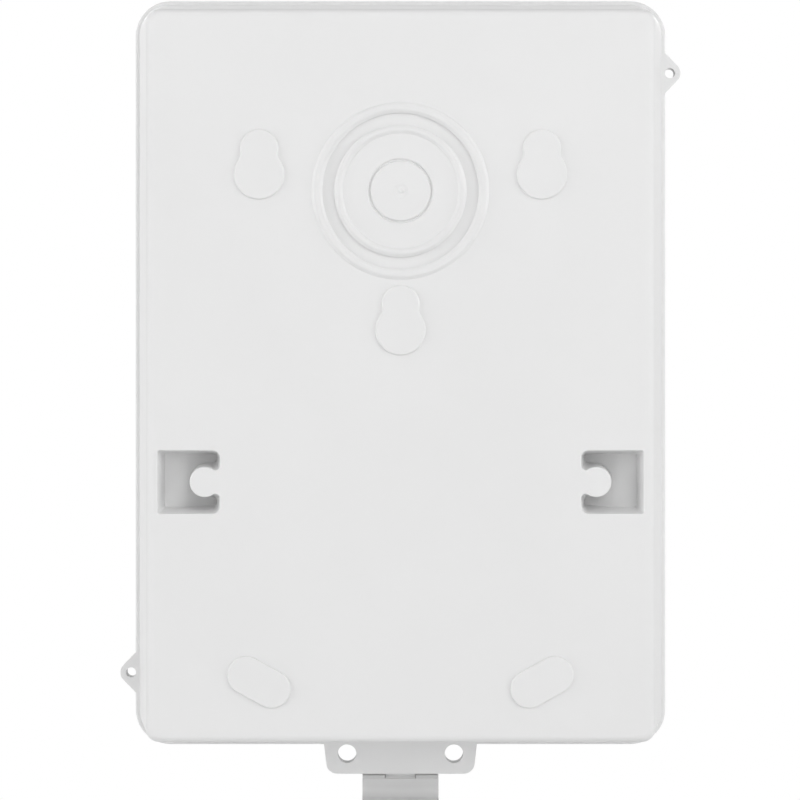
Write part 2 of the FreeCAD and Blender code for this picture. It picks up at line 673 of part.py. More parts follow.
def cover_hinge_blocks():
    """Solid blocks inside the cover's top edge, which the hinge pins pass through."""
    half = COVER_BLOCK_WIDTH / 2
    back, low = COVER_REAR_Y, TOP_Z - COVER_BLOCK_HEIGHT
    top = TOP_Z - COVER_LEDGE - 1
    return [
        box(x - half, x + half, back, back - COVER_BLOCK_DEPTH, low, top) for x in hinge_places()
    ]


def cover_hinge_cuts():
    """Notches for the base's lugs, pin bores, and the rounding of the top edge about the hinge axis."""
    half, reach = COVER_LUG_WIDTH / 2 + HINGE_CLEAR, COVER_HINGE_R + HINGE_CLEAR / 2
    cuts = []
    for x in hinge_places():
        cuts.append(
            box(x - half, x + half, HINGE_Y - reach, PARTING_Y, HINGE_Z - reach, TOP_Z + 1)
        )
        pin_half = COVER_BLOCK_WIDTH / 2 - PIN_SHORT_OF_BLOCK
        start, end = Vector(x - pin_half, HINGE_Y, HINGE_Z), Vector(x + pin_half, HINGE_Y, HINGE_Z)
        cuts.append(rod(COVER_PIN_R, start, end))
    edge = box(-HALF_WIDTH, HALF_WIDTH, HINGE_Y, PARTING_Y, HINGE_Z, TOP_Z + 1)
    keep = pin_bore(COVER_HINGE_R, HALF_WIDTH + 1, HINGE_Y, HINGE_Z)
    cuts.append(edge.cut(keep))
    return cuts


def door_hinge_places():
    """Where the two door hinges lie along Z."""
    return [MIDDLE_Z - DOOR_HINGE_SPACING / 2, MIDDLE_Z + DOOR_HINGE_SPACING / 2]


def door_hinge_lug(z):
    """Lug on the cover's face that a door hinge pin runs through."""
    half, radius = DOOR_LUG_WIDTH / 2, DOOR_HINGE_R - HINGE_CLEAR
    knuckle = rod(
        radius, Vector(DOOR_HINGE_X, DOOR_HINGE_Y, z - half), Vector(DOOR_HINGE_X, DOOR_HINGE_Y, z + half)
    )
    web = box(
        DOOR_HINGE_X - radius, DOOR_HINGE_X + radius, DOOR_HINGE_Y, COVER_FRONT_Y + 1, z - half, z + half
    )
    return fused([knuckle, web])


def door_pin_bore(radius, z, half):
    """Bore along Z through a door hinge."""
    start = Vector(DOOR_HINGE_X, DOOR_HINGE_Y, z - half)
    return rod(radius, start, Vector(DOOR_HINGE_X, DOOR_HINGE_Y, z + half))


def aperture(z, y0, y1):
    """Module aperture of one row."""
    half_x, half_z = APERTURE_HALF_WIDTH, APERTURE_HEIGHT / 2
    cut = box(-half_x, half_x, y0, y1, z - half_z, z + half_z)
    upright = edges_where(cut, lambda c, e: abs(c.y - (y0 + y1) / 2) < SMALL)
    return cut.makeFillet(APERTURE_CORNER, upright)


def front_cover():
    """Front moulding: rim, leaning walls, sunk module panel with two apertures, ears and hasp plate."""
    rim_front = COVER_REAR_Y - RIM_THICK
    rim = rim_plate(COVER_REAR_Y, rim_front)
    shell = inset_block(COVER_LEDGE, rim_front + SMALL, COVER_FRONT_Y, COVER_DRAFT)
    front_edges = edges_where(shell, lambda c, e: abs(c.y - COVER_FRONT_Y) < SMALL)
    shell = shell.makeFillet(COVER_FRONT_FILLET, front_edges)
    plates = [ear(side, COVER_REAR_Y, rim_front) for side in (-1, 1)]
    plates.append(hasp_plate(COVER_REAR_Y, rim_front))
    body = fused([rim, shell] + plates)
    inner_front = COVER_FRONT_Y + COVER_WALL
    inner = inset_block(COVER_LEDGE + COVER_WALL, COVER_REAR_Y + SMALL, inner_front, COVER_DRAFT)
    inner_edges = edges_where(inner, lambda c, e: abs(c.y - COVER_FRONT_Y - COVER_WALL) < SMALL)
    inner = inner.makeFillet(COVER_INNER_FILLET, inner_edges)
    sunk = rounded_block(
        RECESS_HALF_WIDTH + COVER_WALL,
        RECESS_HALF_HEIGHT + COVER_WALL,
        RECESS_CORNER + COVER_WALL,
        COVER_FRONT_Y,
        PANEL_Y + COVER_WALL,
    )
    body = body.cut(inner.cut(sunk))
    body = fused([body] + cover_hinge_blocks() + [door_hinge_lug(z) for z in door_hinge_places()])
    mouth = COVER_FRONT_Y - SMALL
    cuts = [rounded_block(RECESS_HALF_WIDTH, RECESS_HALF_HEIGHT, RECESS_CORNER, mouth, PANEL_Y)]
    cuts += [aperture(z, PANEL_Y - 1, PANEL_Y + COVER_WALL + 1) for z in ROW_Z]
    cuts += [ear_hole(side, COVER_REAR_Y, rim_front) for side in (-1, 1)]
    cuts += hasp_holes(COVER_REAR_Y, rim_front)
    cuts += cover_hinge_cuts()
    cuts += [door_pin_bore(DOOR_PIN_R + HINGE_BORE_GAP, z, DOOR_LUG_WIDTH) for z in door_hinge_places()]
    return body.cut(cuts)


def clear_door():
    """Clear tray-shaped door with hinge blocks along its left edge and a grip on its right edge."""
    front = DOOR_REAR_Y - DOOR_DEPTH
    tray = rounded_block(DOOR_HALF_WIDTH, DOOR_HALF_HEIGHT, DOOR_CORNER, DOOR_REAR_Y, front)
    tray = tray.makeFillet(DOOR_FRONT_FILLET, edges_where(tray, lambda c, e: abs(c.y - front) < SMALL))
    hollow = rounded_block(
        DOOR_HALF_WIDTH - DOOR_WALL,
        DOOR_HALF_HEIGHT - DOOR_WALL,
        DOOR_CORNER - DOOR_WALL,
        DOOR_REAR_Y + SMALL,
        front + DOOR_WALL,
    )
    floor = edges_where(hollow, lambda c, e: abs(c.y - front - DOOR_WALL) < SMALL)
    tray = tray.cut(hollow.makeFillet(DOOR_FRONT_FILLET - DOOR_WALL, floor))
    left, half = -DOOR_HALF_WIDTH, DOOR_BLOCK_WIDTH / 2
    blocks = [
        box(left + 1, left + DOOR_BLOCK_SIDE, DOOR_REAR_Y, DOOR_REAR_Y - DOOR_BLOCK_SIDE, z - half, z + half)
        for z in door_hinge_places()
    ]
    right, grip = DOOR_HALF_WIDTH, DOOR_GRIP_WIDTH / 2
    tab = box(
        right - DOOR_WALL / 2,
        right + DOOR_GRIP_OUT,
        DOOR_REAR_Y,
        DOOR_REAR_Y - DOOR_GRIP_THICK,
        MIDDLE_Z - grip,
        MIDDLE_Z + grip,
    )
    corners = edges_where(
        tab, lambda c, e: abs(c.x - right - DOOR_GRIP_OUT) < SMALL and abs(abs(c.z - MIDDLE_Z) - grip) < SMALL
    )
    tab = tab.makeFillet(DOOR_GRIP_FILLET, corners)
    door = fused([tray, tab] + blocks)
    lug_half, reach = DOOR_LUG_WIDTH / 2 + HINGE_CLEAR, DOOR_HINGE_R + HINGE_CLEAR / 2
    cuts = []
    for z in door_hinge_places():
        cuts.append(
            box(
                left - 1,
                DOOR_HINGE_X + reach,
                DOOR_REAR_Y + 1,
                DOOR_HINGE_Y - reach,
                z - lug_half,
                z + lug_half,
            )
        )
        cuts.append(door_pin_bore(DOOR_PIN_R, z, DOOR_BLOCK_WIDTH / 2 - PIN_SHORT_OF_BLOCK))
    low, high = MIDDLE_Z - DOOR_HALF_HEIGHT, MIDDLE_Z + DOOR_HALF_HEIGHT
    edge = box(left - 1, DOOR_HINGE_X, DOOR_HINGE_Y, DOOR_REAR_Y + 1, low, high)
    axis_low, axis_high = Vector(DOOR_HINGE_X, DOOR_HINGE_Y, low), Vector(DOOR_HINGE_X, DOOR_HINGE_Y, high)
    cuts.append(edge.cut(rod(DOOR_HINGE_R, axis_low, axis_high)))
    return door.cut(cuts)


def cover_hinge_pins():
    """Two pins held in the cover's blocks."""
    half = COVER_BLOCK_WIDTH / 2 - PIN_SHORT_OF_BLOCK
    pins = [
        rod(COVER_PIN_R, Vector(x - half, HINGE_Y, HINGE_Z), Vector(x + half, HINGE_Y, HINGE_Z))
        for x in hinge_places()
    ]
    return Part.makeCompound(pins)


def door_hinge_pins():
    """Two pins held in the door's blocks."""
    half = DOOR_BLOCK_WIDTH / 2 - PIN_SHORT_OF_BLOCK
    return Part.makeCompound([door_pin_bore(DOOR_PIN_R, z, half) for z in door_hinge_places()])


def latch_tail():
    """Section of the clip's tail at its left end: a leaning plate that curls out into a lip."""
    lean = math.radians(LATCH_TAIL_LEAN)
    sine, cosine = math.sin(lean), math.cos(lean)
    near, far = LATCH_TAIL_OUT - LATCH_STRAP, LATCH_TAIL_OUT

    def at(out, height):
        y = out * cosine + (height + out * sine) / cosine * sine
        return Vector(-LATCH_WIDTH / 2, LATCH_Y + y, LATCH_Z + height)

    normal = Vector(0, cosine, -sine)
    rear = at(far, -LATCH_TAIL_FLAT)
    front = rear - normal * LATCH_STRAP
    centre = rear + normal * LATCH_LIP_R
    half_turn = math.radians(450 - LATCH_TAIL_LEAN) / 2
    middle, down = Vector(0, math.cos(half_turn), math.sin(half_turn)), Vector(0, 0, -1)
    inner, outer = LATCH_LIP_R, LATCH_LIP_R + LATCH_STRAP
    upper, lower, reach = centre + down * inner, centre + down * outer, Vector(0, LATCH_LIP_REACH, 0)
    return Part.Wire(
        [
            Part.makeLine(at(near, LATCH_TAIL_TOP), at(far, LATCH_TAIL_TOP)),
            Part.makeLine(at(far, LATCH_TAIL_TOP), rear),
            Part.Arc(rear, centre + middle * inner, upper).toShape(),
            Part.makeLine(upper, upper + reach),
            Part.makeLine(upper + reach, lower + reach),
            Part.makeLine(lower + reach, lower),
            Part.Arc(lower, centre + middle * outer, front).toShape(),
            Part.makeLine(front, at(near, LATCH_TAIL_TOP)),
        ]
    )


def latch_clip():
    """Clip that turns on the lug's pin: a hook up the front of both plates, and a tail with a curled lip."""
    y, z, half = LATCH_Y, LATCH_Z, LATCH_WIDTH / 2
    hook_back = COVER_REAR_Y - RIM_THICK - LATCH_GAP
    hook_front = hook_back - LATCH_STRAP
    top = z + LATCH_KNUCKLE_R
    floor = top - LATCH_STRAP
    knuckle = rod(LATCH_KNUCKLE_R, Vector(-half, y, z), Vector(half, y, z))
    arm = box(-half, half, y, hook_front, floor, top)
    hook = box(-half, half, hook_back, hook_front, floor, z + LATCH_HOOK_RISE)
    heel = edges_where(hook, lambda c, e: abs(c.y - hook_front) < SMALL and abs(c.x) < SMALL)
    hook = hook.makeFillet(LATCH_HOOK_EDGE, heel)
    tail = Part.Face(latch_tail()).extrude(Vector(LATCH_WIDTH, 0, 0))
    lip_end = tail.BoundBox.YMax
    lip_edges = edges_where(tail, lambda c, e: abs(c.y - lip_end) < SMALL and abs(c.x) < SMALL)
    tail = tail.makeFillet(LATCH_HOOK_EDGE, lip_edges)
    clip = fused([knuckle, arm, hook, tail])
    lug_half, above = LATCH_LUG_WIDTH / 2 + LATCH_GAP, top + LATCH_GAP
    notch = rod(LATCH_LUG_R + LATCH_GAP, Vector(-lug_half, y, z), Vector(lug_half, y, z))
    web = box(-lug_half, lug_half, PARTING_Y - LATCH_GAP, y, z, above)
    rear = box(-lug_half, lug_half, y, lip_end, z + LATCH_TAIL_TOP, above)
    bore = pin_bore(LATCH_PIN_R, half - PIN_SHORT_OF_BLOCK, y, z)
    return clip.cut([notch, web, rear, bore])


def latch_pin():
    """Pin of the latch clip."""
    return pin_bore(LATCH_PIN_R, LATCH_WIDTH / 2 - PIN_SHORT_OF_BLOCK, LATCH_Y, LATCH_Z)


def screw(x, y, z, length, radius=SCREW_R, head_r=SCREW_HEAD_R, head_h=SCREW_HEAD_H):
    """Pan-headed slotted screw driven along +Y, its head's underside at y."""
    head = rod(head_r, Vector(x, y, z), Vector(x, y - head_h, z))
    rim = edges_where(head, lambda c, e: abs(c.y - y + head_h) < SMALL and len(e.Vertexes) == 1)
    head = head.makeFillet(head_h / 3, rim)
    shank = rod(radius, Vector(x, y - SMALL, z), Vector(x, y + length, z))
    half = SCREW_SLOT / 2
    slot = box(x - head_r, x + head_r, y - head_h - 1, y - head_h / 2, z - half, z + half)
    return fused([head, shank]).cut(slot)


def chassis_bar(side):
    """Upright steel strip with round-cornered ends and holes for every screw that it takes."""
    x, half, reach = side * BAR_X, BAR_WIDTH / 2, BAR_HALF_LENGTH
    bar = box(x - half, x + half, RAIL_BACK_Y, BAR_BACK_Y, MIDDLE_Z - reach, MIDDLE_Z + reach)
    corners = edges_where(
        bar, lambda c, e: abs(c.y - (RAIL_BACK_Y + BAR_BACK_Y) / 2) < SMALL and e.Length < BAR_THICK + SMALL
    )
    bar = bar.makeFillet(BAR_END_R, corners)
    hole = SCREW_R + SCREW_CLEAR
    places = [(x, MIDDLE_Z - POST_Z), (x, MIDDLE_Z + POST_Z)] + [(x, z) for z in ROW_Z]
    places += [(x + side * HOLDER_SCREW_OUT, z) for z in terminal_rows()]
    front, back = RAIL_BACK_Y - 1, BAR_BACK_Y + 1
    return bar.cut([rod(hole, Vector(a, front, b), Vector(a, back, b)) for a, b in places])


def terminal_rows():
    """Heights of the earth bar and the neutral bar."""
    return [MIDDLE_Z + TERMINAL_BAR_Z, MIDDLE_Z - TERMINAL_BAR_Z]


def din_rail(z):
    """Top-hat rail: bent sheet with slots along its web."""
    half, crown, deep = RAIL_HEIGHT / 2, RAIL_CROWN / 2, RAIL_DEPTH
    t = RAIL_SHEET
    back, front = RAIL_BACK_Y, RAIL_BACK_Y - deep
    x0 = -RAIL_LENGTH / 2
    outline = [
        (front, -half),
        (front, -crown + t),
        (back - t, -crown + t),
        (back - t, crown - t),
        (front, crown - t),
        (front, half),
        (front + t, half),
        (front + t, crown),
        (back, crown),
        (back, -crown),
        (front + t, -crown),
        (front + t, -half),
    ]
    rail = prism([Vector(x0, y, z + h) for y, h in outline], Vector(RAIL_LENGTH, 0, 0))
    long_edges = edges_where(rail, lambda c, e: e.Length > RAIL_LENGTH - SMALL)
    bends = [e for e in long_edges if abs(abs(e.CenterOfMass.z - z) - half) > SMALL]
    rail = rail.makeFillet(RAIL_BEND_R, bends)
    slots = []
    count = int((RAIL_LENGTH - 2 * BAR_WIDTH - RAIL_SLOT_LENGTH) // RAIL_SLOT_PITCH) + 1
    for i in range(count):
        x = (i - (count - 1) / 2) * RAIL_SLOT_PITCH
        reach = (RAIL_SLOT_LENGTH - RAIL_SLOT_WIDTH) / 2
        lobes = [
            rod(RAIL_SLOT_WIDTH / 2, Vector(x + d, back - t - 1, z), Vector(x + d, back + 1, z))
            for d in (-reach, reach)
        ]
        width = RAIL_SLOT_WIDTH / 2
        lobes.append(box(x - reach, x + reach, back - t - 1, back + 1, z - width, z + width))
        slots.append(fused(lobes))
    hole = SCREW_R + SCREW_CLEAR
    for x in (-BAR_X, BAR_X):
        slots.append(rod(hole, Vector(x, back - t - 1, z), Vector(x, back + 1, z)))
    return rail.cut(slots)


def chassis_screws():
    """Four screws through the bars into the base's posts."""
    return Part.makeCompound([screw(x, RAIL_BACK_Y, z, SCREW_LENGTH) for x, z in post_places()])


def din_rail_screws():
    """Four screws that hold the rails to the bars."""
    seat = RAIL_BACK_Y - RAIL_SHEET
    length = RAIL_SHEET + BAR_THICK + 3
    return Part.makeCompound([screw(x, seat, z, length) for z in ROW_Z for x in (-BAR_X, BAR_X)])


def end_clamp(z):
    """Moulded end stop that grips the right end of a rail."""
    x1 = BAR_X - BAR_WIDTH / 2 - CLAMP_FROM_BAR
    x0 = x1 - CLAMP_WIDTH
    half, crown = CLAMP_HEIGHT / 2, RAIL_HEIGHT / 2
    front, seat = RAIL_FRONT_Y - CLAMP_DEPTH, RAIL_FRONT_Y - CLAMP_GAP
    body = box(x0, x1, front, seat, z - half, z + half)
    nose = edges_where(body, lambda c, e: abs(c.y - front) < SMALL and abs(c.x - (x0 + x1) / 2) < SMALL)
    body = body.makeChamfer(CLAMP_FOOT, nose)
    back = RAIL_FRONT_Y + RAIL_SHEET + CLAMP_GAP
    feet = []
    for way in (-1, 1):
        edge = z + way * (crown + CLAMP_GAP)
        feet.append(box(x0, x1, seat - SMALL, back + CLAMP_FOOT / 2, edge, z + way * half))
        lip = z + way * (crown - CLAMP_FOOT)
        feet.append(box(x0, x1, back, back + CLAMP_FOOT / 2, lip, z + way * half))
    return fused([body] + feet)


def terminal_bar(z):
    """Brass bar with cross holes for the wires and a screw hole over each."""
    half = BAR_X - HOLDER_WIDTH / 2 + HOLDER_LAP - HOLDER_GAP
    back = RAIL_BACK_Y - HOLDER_FLOOR
    front, tall = back - TERMINAL_BAR_DEPTH, TERMINAL_BAR_HEIGHT / 2
    bar = box(-half, half, front, back, z - tall, z + tall)
    cuts = []
    mid = (front + back) / 2 + WIRE_HOLE_OFF_MIDDLE
    for x in terminal_places():
        cuts.append(rod(WIRE_HOLE_R, Vector(x, mid, z - tall - 1), Vector(x, mid, z + tall + 1)))
        cuts.append(rod(TERMINAL_SCREW_R + HINGE_BORE_GAP, Vector(x, front - 1, z), Vector(x, mid, z)))
    return bar.cut(cuts)


def terminal_places():
    """Where the terminals lie along a bar."""
    return [(i - (TERMINAL_COUNT - 1) / 2) * TERMINAL_PITCH for i in range(TERMINAL_COUNT)]


def terminal_screws(z):
    """Clamping screws of one terminal bar."""
    front = RAIL_BACK_Y - HOLDER_FLOOR - TERMINAL_BAR_DEPTH
    length = TERMINAL_BAR_DEPTH / 3
    return Part.makeCompound(
        [
            screw(x, front, z, length, TERMINAL_SCREW_R, TERMINAL_HEAD_R, TERMINAL_HEAD_H)
            for x in terminal_places()
        ]
    )


def bar_holder(side, z):
    """Moulded block on a chassis bar, with a socket that takes one end of a terminal bar."""
    centre = side * BAR_X
    half, tall = HOLDER_WIDTH / 2, HOLDER_HEIGHT / 2
    back, front = RAIL_BACK_Y, RAIL_BACK_Y - HOLDER_DEPTH
    block = box(centre - half, centre + half, front, back, z - tall, z + tall)
    rim = edges_where(block, lambda c, e: abs(c.y - front) < SMALL)
    block = block.makeFillet(HOLDER_FILLET, rim)
    mouth = side * (BAR_X - half)
    bar_back = back - HOLDER_FLOOR
    socket = box(
        mouth - side,
        mouth + side * HOLDER_LAP,
        bar_back,
        bar_back - TERMINAL_BAR_DEPTH - HOLDER_GAP,
        z - TERMINAL_BAR_HEIGHT / 2 - HOLDER_GAP,
        z + TERMINAL_BAR_HEIGHT / 2 + HOLDER_GAP,
    )
    x = centre + side * HOLDER_SCREW_OUT
    hole = rod(SCREW_R + SCREW_CLEAR, Vector(x, front - 1, z), Vector(x, back + 1, z))
    return block.cut([socket, hole])


def bar_holder_screws():
    """Four screws that hold the holders to the chassis bars."""
    front = RAIL_BACK_Y - HOLDER_DEPTH
    length = HOLDER_DEPTH + BAR_THICK + 2
    reach = BAR_X + HOLDER_SCREW_OUT
    return Part.makeCompound([screw(x, front, z, length) for z in terminal_rows() for x in (-reach, reach)])


def blanking_strip(z, side):
    """Strip that fills three modules at one end of an aperture, scored between modules, on two clip legs."""
    width = BLANKED_COUNT * MODULE_WIDTH
    outer = side * (APERTURE_HALF_WIDTH - STRIP_GAP)
    inner = outer - side * width
    half = APERTURE_HEIGHT / 2 - STRIP_GAP
    back = PANEL_Y + STRIP_THICK
    strip = box(outer, inner, PANEL_Y, back, z - half, z + half)
    corners = edges_where(
        strip, lambda c, e: abs(c.x - outer) < SMALL and abs(abs(c.z - z) - half) < SMALL
    )
    strip = strip.makeFillet(APERTURE_CORNER, corners)
    leg_outer, leg_inner = outer - side * APERTURE_CORNER * 2, inner + side * APERTURE_CORNER
    legs = []
    for way in (-1, 1):
        edge = z + way * half
        root, tip = edge - way * STRIP_LEG_THICK, back + STRIP_LEG_DEPTH
        legs.append(box(leg_outer, leg_inner, back - SMALL, tip, edge, root))
        hook = PANEL_Y + COVER_WALL + STRIP_GAP
        legs.append(box(leg_outer, leg_inner, hook, tip, edge + way * STRIP_NIB, root))
    scores = []
    for i in range(1, BLANKED_COUNT):
        x, wide = outer - side * i * MODULE_WIDTH, STRIP_SCORE_WIDTH / 2
        scores.append(box(x - wide, x + wide, PANEL_Y - 1, PANEL_Y + STRIP_SCORE, z - half - 1, z + half + 1))
    return fused([strip] + legs).cut(scores)


def build():
    """Every sub-part by its name."""
    upper, lower = ROW_Z
    earth, neutral = terminal_rows()
    parts = {
        "rear_base": rear_base(),
        "front_cover": front_cover(),
        "clear_door": clear_door(),
        "cover_hinge_pins": cover_hinge_pins(),
        "door_hinge_pins": door_hinge_pins(),
        "latch_clip": latch_clip(),
        "latch_pin": latch_pin(),
        "chassis_bar_left": chassis_bar(-1),
        "chassis_bar_right": chassis_bar(1),
        "chassis_screws": chassis_screws(),
        "upper_din_rail": din_rail(upper),
        "lower_din_rail": din_rail(lower),
        "din_rail_screws": din_rail_screws(),
        "bar_holder_screws": bar_holder_screws(),
        "upper_end_clamp": end_clamp(upper),
        "lower_end_clamp": end_clamp(lower),
        "upper_blanking_strip": blanking_strip(upper, 1),
        "lower_blanking_strip": blanking_strip(lower, 1),
    }
    for name, z in (("earth", earth), ("neutral", neutral)):
        parts[name + "_bar"] = terminal_bar(z)
        parts[name + "_bar_screws"] = terminal_screws(z)
        parts[name + "_bar_holder_left"] = bar_holder(-1, z)
        parts[name + "_bar_holder_right"] = bar_holder(1, z)
    return parts


def main():
    os.makedirs("parts", exist_ok=True)
    for name, shape in build().items():
        shape.exportStep(os.path.join("parts", name + ".step"))
        state = "valid" if shape.isValid() else "NOT VALID"
        print(name, len(shape.Solids), round(shape.Volume / 1000, 2), state)


main()
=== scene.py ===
"""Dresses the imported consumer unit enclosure: a finish for every node, a gate stub and a plain studio."""

import logging
import math
import random
from dataclasses import dataclass, field
from enum import Enum

import bmesh
import bpy
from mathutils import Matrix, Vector


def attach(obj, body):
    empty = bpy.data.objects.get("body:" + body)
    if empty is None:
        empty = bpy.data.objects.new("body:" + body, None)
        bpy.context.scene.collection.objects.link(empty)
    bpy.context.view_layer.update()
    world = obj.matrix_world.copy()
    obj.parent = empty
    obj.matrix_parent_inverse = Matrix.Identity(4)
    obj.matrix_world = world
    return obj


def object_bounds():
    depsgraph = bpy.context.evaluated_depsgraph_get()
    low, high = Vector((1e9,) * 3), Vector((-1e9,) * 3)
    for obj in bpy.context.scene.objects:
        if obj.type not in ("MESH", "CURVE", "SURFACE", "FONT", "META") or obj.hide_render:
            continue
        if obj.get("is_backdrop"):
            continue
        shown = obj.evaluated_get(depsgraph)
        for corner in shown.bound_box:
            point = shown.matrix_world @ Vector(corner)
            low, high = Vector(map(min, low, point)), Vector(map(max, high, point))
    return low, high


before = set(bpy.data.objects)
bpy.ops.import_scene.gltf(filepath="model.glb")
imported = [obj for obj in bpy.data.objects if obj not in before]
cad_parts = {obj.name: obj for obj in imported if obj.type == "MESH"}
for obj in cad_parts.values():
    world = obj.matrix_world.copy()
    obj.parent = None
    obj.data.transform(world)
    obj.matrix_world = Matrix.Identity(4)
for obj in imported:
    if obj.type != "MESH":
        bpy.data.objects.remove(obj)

log = logging.getLogger("enclosure")
MM = 0.001
Triple = tuple[float, float, float]
Pair = tuple[float, float]
Socket = bpy.types.NodeSocket


class Slot(Enum):
    """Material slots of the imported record."""

    SHELL = "grey_plastic"
    WINDOW = "clear_plastic"
    ZINC = "zinc_steel"
    BRIGHT = "bright_steel"
    CLAMP = "dark_plastic"
    EARTH = "green_plastic"
    NEUTRAL = "blue_plastic"
    BRASS = "brass"


class Body(Enum):
    """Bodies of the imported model."""

    BASE = "base"
    COVER = "cover"
    DOOR = "door"
    LATCH = "latch"


class ShaderTree:
    """Nodes of a material or of the world, with the joins that both use."""

    def __init__(self, owner: bpy.types.Material | bpy.types.World, output: str) -> None:
        """Empties the owner's tree and gives it an output.

        Args:
            owner: The material or the world.
            output: Kind of the output node.
        """
        owner.use_nodes = True
        self.nodes = owner.node_tree.nodes
        self.links = owner.node_tree.links
        self.nodes.clear()
        self.output = self.nodes.new(output)

    def show(self, shader: Socket) -> None:
        """Sends a shader to the output, in place of what was there."""
        self.links.new(shader, self.output.inputs["Surface"])

    def mixed(self, share: Socket, first: Socket, second: Socket) -> Socket:
        """Mixes two shaders.

        Args:
            share: Where 0 is the first shader and 1 the second.
            first: Shader socket.
            second: Shader socket.

        Returns:
            The mixed shader's socket.
        """
        mix = self.nodes.new("ShaderNodeMixShader")
        for source, target in zip((share, first, second), mix.inputs):
            self.links.new(source, target)
        return mix.outputs[0]

    def joined(self, operation: str, first: Socket, second: Socket) -> Socket:
        """Works out one value from two.

        Args:
            operation: Name of the arithmetic.
            first: Value socket.
            second: Value socket.

        Returns:
            The value socket.
        """
        node = self.nodes.new("ShaderNodeMath")
        node.operation = operation
        self.links.new(first, node.inputs[0])
        self.links.new(second, node.inputs[1])
        return node.outputs[0]

    def looked_at(self) -> Socket:
        """Whether the camera, a gloss or a clear piece looks at a surface.

        Returns:
            The value socket, 0 or 1.
        """
        ray = self.nodes.new("ShaderNodeLightPath")
        seen = ray.outputs["Is Camera Ray"]
        for kind in ("Is Glossy Ray", "Is Transmission Ray"):
            seen = self.joined("MAXIMUM", seen, ray.outputs[kind])
        return seen


class FinishTree(ShaderTree):
    """Node tree of one finish, with the joins that the finishes share."""

    noise_span: Pair = (0.3, 0.7)

    def __init__(self, name: str) -> None:
        """Starts a material with a bare surface shader.

        Args:
            name: Name of the material.
        """
        self.material = bpy.data.materials.new(name)
        super().__init__(self.material, "ShaderNodeOutputMaterial")
        self.surface = self.nodes.new("ShaderNodeBsdfPrincipled")
        self.show(self.surface.outputs[0])
        self.place = self.nodes.new("ShaderNodeTexCoord").outputs["Object"]

    def fixed(self, **values: float) -> None:
        """Sets sockets of the surface shader to plain values.

        Args:
            values: Socket names, with underscores for spaces, and their values.
        """
        for name, value in values.items():
            self.surface.inputs[name.replace("_", " ")].default_value = value

    def stretched(self, way: Triple) -> Socket:
        """Coordinates stretched along an axis, for drawn or rolled marks.

        Args:
            way: Scale of each axis.

        Returns:
            The vector socket.
        """
        mapping = self.nodes.new("ShaderNodeMapping")
        mapping.inputs["Scale"].default_value = way
        self.links.new(self.place, mapping.inputs["Vector"])
        return mapping.outputs[0]

    def mottle(
        self,
        width: float,
        low: float = 0.0,
        high: float = 1.0,
        detail: float = 2.0,
        along: Socket | None = None,
    ) -> Socket:
        """Soft cloudy field between two values.

        Args:
            width: Width of one cloud in metres.
            low: Lowest value.
            high: Highest value.
            detail: Octaves of finer clouds.
            along: Coordinates, or None for the plain ones.

        Returns:
            The value socket.
        """
        noise = self.nodes.new("ShaderNodeTexNoise")
        noise.inputs["Scale"].default_value = 1.0 / width
        noise.inputs["Detail"].default_value = detail
        self.links.new(along or self.place, noise.inputs["Vector"])
        return self.span(noise.outputs[0], self.noise_span, (low, high))

    def spangle(self, width: float) -> Socket:
        """Crystals of one size, each with a level of its own.

        Args:
            width: Width of one crystal in metres.

        Returns:
            The value socket.
        """
        cells = self.nodes.new("ShaderNodeTexVoronoi")
        cells.inputs["Scale"].default_value = 1.0 / width
        self.links.new(self.place, cells.inputs["Vector"])
        return self.span(cells.outputs["Color"], (0.0, 1.0), (0.0, 1.0))

    def span(self, value: Socket, source: Pair, target: Pair) -> Socket:
        """Carries a value from one span to another.

        Args:
            value: Value socket.
            source: Span that it comes from.
            target: Span that it is carried to.

        Returns:
            The value socket.
        """
        carry = self.nodes.new("ShaderNodeMapRange")
        for name, number in zip(("From Min", "From Max", "To Min", "To Max"), (*source, *target)):
            carry.inputs[name].default_value = number
        self.links.new(value, carry.inputs["Value"])
        return carry.outputs[0]

    def tint(self, share: Socket, first: Triple, second: Triple) -> None:
        """Colours the surface between two shades.

        Args:
            share: Where 0 is the first shade and 1 the second.
            first: Linear colour.
            second: Linear colour.
        """
        mix = self.nodes.new("ShaderNodeMix")
        mix.data_type = "RGBA"
        mix.inputs["A"].default_value = (*first, 1.0)
        mix.inputs["B"].default_value = (*second, 1.0)
        self.links.new(share, mix.inputs["Factor"])
        self.links.new(mix.outputs["Result"], self.surface.inputs["Base Color"])

    def gloss(self, value: Socket) -> None:
        """Drives the roughness."""
        self.links.new(value, self.surface.inputs["Roughness"])

    def relief(self, layers: list[tuple[Socket, float]]) -> None:
        """Bump from several height fields, laid one over the other.

        Args:
            layers: Pairs of a height socket from 0 to 1 and its depth in metres.
        """
        below = None
        for height, depth in layers:
            bump = self.nodes.new("ShaderNodeBump")
            bump.inputs["Strength"].default_value = 1.0
            bump.inputs["Distance"].default_value = depth
            self.links.new(height, bump.inputs["Height"])
            if below:
                self.links.new(below, bump.inputs["Normal"])
            below = bump.outputs[0]
        self.links.new(below, self.surface.inputs["Normal"])


def about(middle: float, change: Pair) -> Pair:
    """Span round a middle value."""
    return middle + change[0], middle + change[1]


